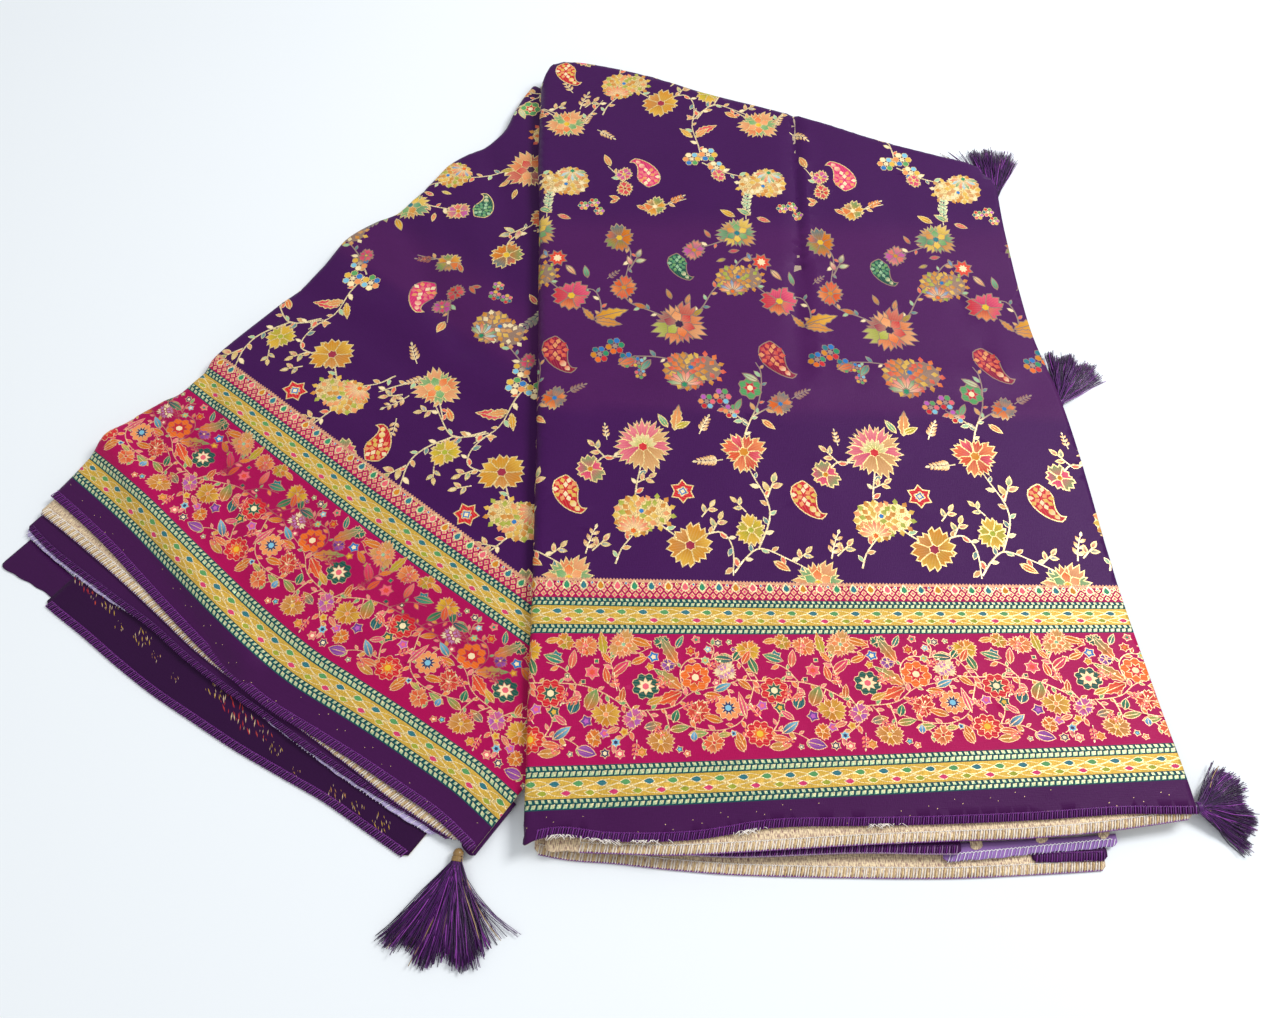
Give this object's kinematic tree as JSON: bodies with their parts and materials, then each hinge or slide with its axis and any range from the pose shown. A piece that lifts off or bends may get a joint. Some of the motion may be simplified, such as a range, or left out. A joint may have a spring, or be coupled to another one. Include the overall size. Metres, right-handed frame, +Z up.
{
  "type": "folded sari",
  "caption": "Silk brocade sari with a broad floral border and thread tassels, folded to a stack with one half turned out like a fan, laid flat.",
  "frame": {"origin": "middle of the footprint on the surface that the folded sari lies on", "axes": "+Z up off the surface, +X to the right along the near edge, +Y away from the near edge"},
  "size_m": [0.7108, 0.6502, 0.021],
  "materials": {
    "brocade": "silk brocade, soft sheen, with coloured and metallic floats",
    "gold_reverse": "loose gold floats on the reverse, soft glitter",
    "plain_edge": "plain silk, soft sheen",
    "blouse_cloth": "lavender silk reverse, matte",
    "inner_cloth": "folded silk, soft sheen",
    "tassel_thread": "glossy rayon thread"
  },
  "bodies": {
    "root": {"inner_layers": "inner_cloth", "fan_top": "brocade", "panel_top": "brocade", "fan_ply_2": "gold_reverse", "fan_ply_3": "plain_edge", "blouse_left": "blouse_cloth", "fan_ply_4": "plain_edge", "fan_corner": "plain_edge", "fan_end": "plain_edge", "panel_ply_2": "gold_reverse", "panel_ply_3": "plain_edge", "panel_ply_4": "gold_reverse", "blouse_right": "blouse_cloth", "panel_end": "plain_edge", "tassel_1": "tassel_thread", "tassel_2": "tassel_thread", "tassel_3": "tassel_thread", "tassel_4": "tassel_thread"}
  },
  "joints": []
}
